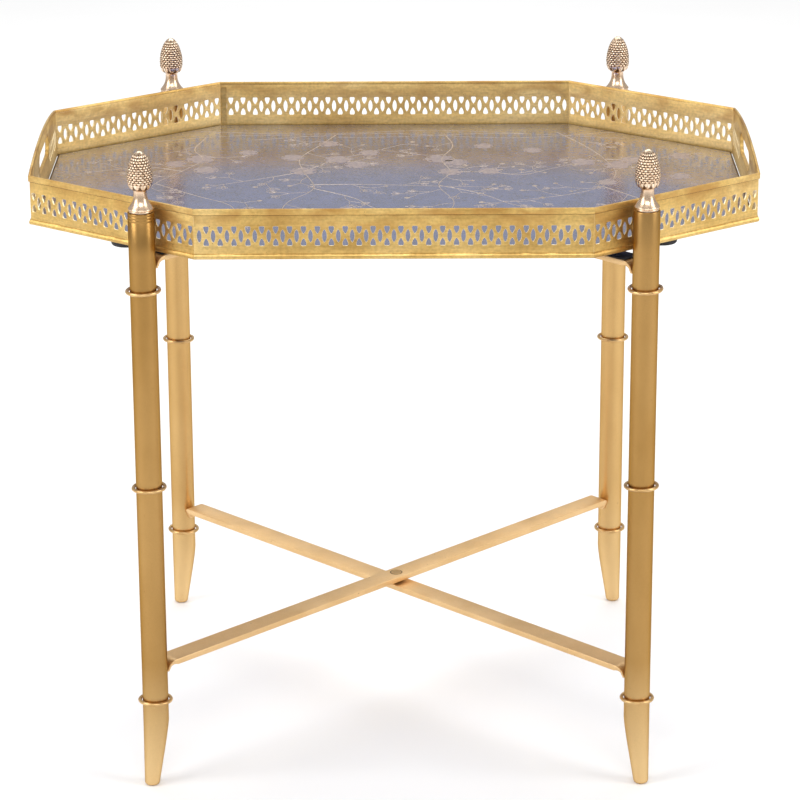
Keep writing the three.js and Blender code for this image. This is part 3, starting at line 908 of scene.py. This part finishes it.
def add_slot_rim(bm):
    """The turned-out edge of the hand hole."""
    section = (
        (-0.1, -SHEET - 0.1), (0.45, -SHEET - 0.25), (0.9, -SHEET / 2), (0.9, 0.1), (SLOT_RIM_THICK, 0.5),
        (SLOT_RIM_THICK, SLOT_RIM_OUT - 0.5), (0.9, SLOT_RIM_OUT - 0.05), (0.4, SLOT_RIM_OUT - 0.05),
        (-0.1, SLOT_RIM_OUT - 0.5),
    )
    rings = [stadium(SLOT_LENGTH + 2 * away, SLOT_HEIGHT + 2 * away, 14) for away, _ in section]
    loops = []
    for i in range(len(rings[0])):
        loops.append([
            Vector((ring[i][0], SLOT_CENTRE + ring[i][1], out)) for ring, (_, out) in zip(rings, section)
        ])
    add_loft(bm, loops, closed=True)


def bend_to_panel(bm, index):
    """Takes (along, up, out) millimetres to the panel's place on the tray, and keeps the first two
    as the Sheet layer that the brushed metal follows."""
    layer = bm.loops.layers.uv.new("Sheet")
    for face in bm.faces:
        for loop in face.loops:
            x, up, out = loop.vert.co
            loop[layer].uv = (x * MM + index * 0.9, (up + out) * MM)
    length = (CORNERS[(index + 1) % 8] - CORNERS[index]).length
    for vert in bm.verts:
        x, up, out = vert.co
        start = offset_corner(index, out)
        end = offset_corner(index + 1, out)
        part = 0.5 - x / length
        spot = end.lerp(start, part)
        vert.co = Vector((spot.x, spot.y, TRAY_BOTTOM + up)) * MM


def make_panel(index):
    name = PANELS[index]
    is_end = name.endswith("_end")
    half = (CORNERS[(index + 1) % 8] - CORNERS[index]).length / 2 - SEAM
    rise = ARCH_RISE if is_end else 0
    steps = 24 if is_end else 1
    top = [half - 2 * half * i / steps for i in range(steps + 1)]
    outline = [(-half, 2), (half, 2)] + [(x, WALL - 3 + arch_lift(x, half, rise)) for x in top]
    holes = holes_for(half, is_end)
    if is_end:
        rim = stadium(SLOT_LENGTH + 1, SLOT_HEIGHT + 1)
        holes.append([(x, SLOT_CENTRE + y) for x, y in rim])
    bm = filled_sheet(outline, holes, SHEET, HOLE_EDGE)
    add_edging(bm, half, rise)
    if is_end:
        add_slot_rim(bm)
    if name == "rear":
        add_corner_strap(bm, half)
    bend_to_panel(bm, index)
    panel = to_object(f"pierced_{name}", bm, OUTSIDE, EDGE_BRASS_HIGHLIGHT, GALLERY_INSIDE_LIT, PAINTED_SHADE)
    settle(panel, "tray", "gallery_brass", f"gallery_{name}")


def add_corner_strap(bm, half):
    """A narrow strap lapped over the joint, on the inside at the left end of the rear panel."""
    at = half - 3.4
    inner = -SHEET - 0.5
    section = ((at - 3, -SHEET - 0.05), (at - 2.6, inner), (at + 2.6, inner), (at + 3, -SHEET - 0.05))
    loops = [[Vector((x, up, out)) for x, out in section] for up in range(3, int(WALL) - 1, 4)]
    add_loft(bm, loops)


# ---- tray floor and its painting ----------------------------------------------------------------

def make_floor():
    """The lacquered plate, with a band of painted shade round its edge for the shadow where it meets the
    gallery. Level rings round its top face keep that face's shading flat.
    """
    edge = -SHEET - FLOOR_INSET
    bm = bmesh.new()
    levels = (
        (edge, TRAY_BOTTOM), (edge, TRAY_BOTTOM + 1.5), (edge - 0.3, TRAY_BOTTOM + 2.2),
        (edge - 0.9, FLOOR_TOP), (edge - 1.6, FLOOR_TOP), (edge - 1.9, FLOOR_TOP),
    )
    loops = []
    for out, height in levels:
        corners = (offset_corner(i, out) for i in range(8))
        loops.append([Vector((c.x, c.y, height)) * MM for c in corners])
    add_loft(bm, loops)
    # Every face but the two broad ones takes the painted shade: a dark band round the edge of the floor.
    for face in bm.faces:
        face.material_index = 0 if face.calc_area() > BROAD_FACE_AREA else 1
    settle(to_object("lacquered_floor", bm, LACQUER, PAINTED_SHADE), "tray", "navy_lacquer", "tray_floor")


PAINT_LIFT = 0.1  # thickness of the painted lines over the lacquer
WASH_LIFT = 0.06  # thickness of the colour inside a blossom
PAINT_SINK = -0.05  # the underside of the paint, just inside the lacquer
LINE_SLOT, BLOSSOM_SLOT = range(2)


def smooth_line(points, steps):
    """A Catmull-Rom curve through a few points."""
    padded = [2 * points[0] - points[1], *points, 2 * points[-1] - points[-2]]
    line = []
    for a, b, c, d in zip(padded, padded[1:], padded[2:], padded[3:]):
        for i in range(steps):
            t = i / steps
            line.append(0.5 * (2 * b + (c - a) * t + (2 * a - 5 * b + 4 * c - d) * t ** 2
                               + (3 * b - a - 3 * c + d) * t ** 3))
    return line + [points[-1]]


def add_stroke(bm, line, start_width, end_width):
    """A thin raised stroke along a line of points, in millimetres on the floor."""
    loops = []
    for i, point in enumerate(line):
        ahead = line[min(i + 1, len(line) - 1)] - line[max(i - 1, 0)]
        if ahead.length < 1e-6:
            continue
        side = Vector((-ahead.y, ahead.x)).normalized()
        width = start_width + (end_width - start_width) * i / (len(line) - 1)
        loops.append([
            Vector((point.x + side.x * s * width / 2, point.y + side.y * s * width / 2, FLOOR_TOP + z)) * MM
            for s, z in ((-1, PAINT_SINK), (-0.7, PAINT_LIFT), (0.7, PAINT_LIFT), (1, PAINT_SINK))
        ])
    add_loft(bm, loops)


def add_patch(bm, outline, lift, material):
    """A flat filled shape on the floor, raised by its lift."""
    loops = [[Vector((p.x, p.y, FLOOR_TOP + z)) * MM for p in outline] for z in (PAINT_SINK, lift)]
    before = len(bm.faces)
    add_loft(bm, loops)
    bm.faces.ensure_lookup_table()
    for face in bm.faces[before:]:
        face.material_index = material


def petal_ring(middle, radius, petals, phase, depth, points=60):
    """Points round a flower whose notches between petals are as deep as depth times its radius."""
    ring = []
    for i in range(points):
        turn = 2 * math.pi * i / points
        scallop = 1 - depth * abs(math.sin((turn * petals + phase) / 2)) ** 3
        ring.append(middle + Vector((math.cos(turn), math.sin(turn))) * radius * scallop)
    return ring


def add_blossom(bm, middle, radius):
    """A full-blown blossom: a filled flower with petal outlines and stamens in a lighter line."""
    phase = rng.uniform(0, 6)
    add_patch(bm, petal_ring(middle, radius, 5, phase, 0.3), WASH_LIFT, BLOSSOM_SLOT)
    for share, petals, width in ((0.98, 5, 0.55), (0.66, 5, 0.5), (0.36, 4, 0.45)):
        ring = petal_ring(middle, radius * share, petals, phase + share * 3, 0.34)
        add_stroke(bm, ring + ring[:2], width, width)
    for k in range(7):
        turn = phase + 2 * math.pi * k / 7
        out = Vector((math.cos(turn), math.sin(turn)))
        add_stroke(bm, [middle + out * radius * r for r in (0.1, 0.2, 0.3)], 0.45, 0.6)


def add_leaf(bm, root, heading, length):
    out = Vector((math.cos(heading), math.sin(heading)))
    side = Vector((-out.y, out.x))
    for bend in (-1, 1):
        tip = root + out * length
        belly = root + out * length * 0.5 + side * bend * length * 0.2
        add_stroke(bm, smooth_line([root, belly, tip], 4), 0.55, 0.4)


def add_sprig(bm, root, heading, length, depth):
    """A twig that bends a little and ends in a fork, in leaves or in a bud."""
    middle = root + Vector((math.cos(heading), math.sin(heading))) * length * 0.5
    turned_to = heading + rng.uniform(-0.45, 0.45)
    tip = middle + Vector((math.cos(turned_to), math.sin(turned_to))) * length * 0.5
    add_stroke(bm, smooth_line([root, middle, tip], 4), 0.8 if depth else 0.6, 0.5)
    if depth:
        for side in (-1, 1):
            add_sprig(bm, tip, turned_to + side * rng.uniform(0.4, 0.9), length * 0.62, depth - 1)
        if rng.random() < 0.6:
            aside = heading + rng.choice((-1, 1)) * rng.uniform(0.7, 1.1)
            add_sprig(bm, middle, aside, length * 0.5, depth - 1)
        return
    if rng.random() < 0.4:
        add_patch(bm, petal_ring(tip, rng.uniform(2.0, 3.2), 4, 0, 0.3, 20), PAINT_LIFT, LINE_SLOT)
    else:
        for turn in (-0.6, 0.1, 0.7):
            add_leaf(bm, tip, turned_to + turn, rng.uniform(7, 12))


# Branches, each a few listed points, in millimetres from the middle of the tray.
BRANCHES = (
    ((-60, 200), (-75, 160), (-96, 104), (-92, 56), (-80, -10), (-104, -60), (-112, -110)),
    ((-92, 52), (-130, 28), (-162, 10)),
    ((-92, 52), (-60, 98), (-30, 122), (0, 150)),
    ((-80, -10), (-40, -45), (-20, -80), (14, -110)),
    ((-84, 4), (-30, 4), (30, -2), (78, -6)),
    ((52, 200), (60, 150), (48, 98), (56, 50), (44, 0), (58, -58), (52, -100)),
    ((56, 50), (96, 48), (128, 38), (160, 62)),
    ((44, 0), (84, -30), (120, -74), (176, -96)),
    ((170, 205), (196, 150), (214, 96), (222, 40), (206, -6), (170, -36), (110, -60)),
    ((214, 96), (250, 92), (292, 110)),
    ((206, -6), (236, -46), (256, -76)),
    ((-196, 190), (-206, 140), (-196, 100), (-214, 56), (-238, 10), (-250, -50)),
    ((-214, 56), (-250, 72), (-290, 60)),
    ((-238, 10), (-196, -34), (-160, -70), (-150, -120)),
)
BACK_ARCS = (
    ((-250, 172), (-150, 196), (-30, 186), (110, 200), (240, 178)),
    ((-150, 176), (-20, 202), (120, 182), (230, 204)),
    ((-210, 214), (-90, 200), (40, 214), (160, 194)),
)
BLOSSOMS = (
    (-92, 54, 14), (-104, 106, 12), (-58, 98, 14), (-38, 78, 13), (-68, 160, 11), (-26, 124, 11),
    (56, 50, 13), (46, 100, 15), (62, 86, 13), (96, 52, 12), (92, 150, 10), (192, 86, 13), (226, 74, 15),
    (240, 92, 12), (212, 8, 10), (292, 108, 12), (286, 30, 11), (-198, 102, 15), (-190, 60, 13),
    (-222, 84, 11), (-150, 126, 10), (142, 132, 10),
)


def inside_floor(point, margin):
    for i in range(8):
        if (point - CORNERS[i]).dot(outward_normal(CORNERS[i], CORNERS[(i + 1) % 8])) > -margin:
            return False
    return True


def make_painting():
    """Blossoming branches drawn in rose gold on the lacquer."""
    bm = bmesh.new()
    for x, y, radius in BLOSSOMS:
        add_blossom(bm, Vector((x, y)), radius)
    for points in BRANCHES:
        line = smooth_line([Vector(p) for p in points], 8)
        add_stroke(bm, line, 1.5, 0.7)
        for i in range(6, len(line) - 2, 7):
            ahead = line[i + 1] - line[i]
            heading = math.atan2(ahead.y, ahead.x) + rng.choice((-1, 1)) * rng.uniform(0.7, 1.25)
            length = rng.uniform(18, 30)
            reach = line[i] + Vector((math.cos(heading), math.sin(heading))) * length * 2.6
            if inside_floor(reach, 12):
                add_sprig(bm, line[i], heading, length, 1)
        end = line[-1] - line[-2]
        add_sprig(bm, line[-1], math.atan2(end.y, end.x), 16, 1 if inside_floor(line[-1], 60) else 0)
    for points in BACK_ARCS:
        add_stroke(bm, smooth_line([Vector(p) for p in points], 14), 0.8, 0.6)
    painting = to_object("blossom_painting", bm, LINE, BLOSSOM)
    settle(painting, "tray", "navy_lacquer")


def make_tray_foot(place):
    node = f"tray_foot_{place}"
    low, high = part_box(node)
    radius = (high.x - low.x) / 2 / MM
    tall = (high.z - low.z) / MM
    outline = [(0, 0.3), (radius - 6, 0.25), (radius - 2.4, 0), (radius - 0.9, 0.35), (radius - 0.15, 1.3)]
    outline += [(radius, 2.2), (radius, tall - 0.4), (radius - 0.4, tall), (0, tall)]
    foot = turned(f"round_{node}", outline, RUBBER, 48)
    spot = centre(node)
    foot.matrix_world = Matrix.Translation((spot.x, spot.y, low.z))
    settle(foot, "tray", "black_rubber", node)


# ---- studio -------------------------------------------------------------------------------------

def make_camera():
    camera = bpy.data.cameras.new("camera")
    camera.sensor_width = 36
    camera.lens = 151.9
    camera.clip_end = 100
    holder = bpy.data.objects.new("camera", camera)
    bpy.context.scene.collection.objects.link(holder)
    pitch, yaw, roll = (math.radians(a) for a in (-19.245, 0.065, -0.239))
    level_turn = Matrix.Rotation(yaw, 4, "Z") @ Matrix.Rotation(math.pi / 2 + pitch, 4, "X")
    turn = level_turn @ Matrix.Rotation(roll, 4, "Z")
    holder.matrix_world = Matrix.Translation((0.0083, -3.2308, 1.4437)) @ turn
    bpy.context.scene.camera = holder


def add_softbox(name, place, aim, size, watts):
    light = bpy.data.lights.new(name, "AREA")
    light.shape = "RECTANGLE"
    light.size, light.size_y = size
    light.energy = watts
    holder = bpy.data.objects.new(name, light)
    bpy.context.scene.collection.objects.link(holder)
    holder.location = place
    holder.rotation_euler = (Vector(aim) - Vector(place)).to_track_quat("-Z", "Y").to_euler()


def make_studio():
    bm = bmesh.new()
    bmesh.ops.create_grid(bm, x_segments=8, y_segments=8, size=14)
    ground = to_object("studio_floor", bm, painted_floor())
    ground.location.z = -0.0005
    world = bpy.data.worlds.new("studio")
    bpy.context.scene.world = world
    world.use_nodes = True
    background = world.node_tree.nodes["Background"]
    background.inputs["Color"].default_value = (1.0, 1.0, 1.0, 1)
    background.inputs["Strength"].default_value = 0.54
    middle = (0, 0, 0.4)
    add_softbox("key_left", (-2.5, -1.3, 1.9), middle, (1.6, 2.2), 46)
    add_softbox("key_right", (2.6, -1.1, 1.8), middle, (1.4, 2.2), 38)
    add_softbox("front", (0.2, -3.4, 3.2), middle, (3.2, 1.2), 58)
    add_softbox("top", (0, 2.0, 3.3), (0, 2.2, 0), (3.6, 3.0), 76)
    bpy.context.scene.view_settings.view_transform = "Standard"


# ---- assembly -----------------------------------------------------------------------------------

make_camera()
cone_mesh = finial_mesh()
for place, body in PLACES.items():
    make_leg(place, body)
    make_finial(place, body, cone_mesh)
    for level in ("upper", "middle", "lower"):
        make_ring(place, level, body)
    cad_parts[f"leg_plug_{place}"].data.materials[0] = GOLD
    make_tray_foot(place)
for letter, ends in (("a", ("rear_right", "front_left")), ("b", ("front_right", "rear_left"))):
    for level in ("lower", "upper"):
        make_bar(letter, level, ends)
for level in ("lower", "upper"):
    make_pivot(level)
for index in range(len(PANELS)):
    make_panel(index)
make_floor()
make_painting()
make_studio()
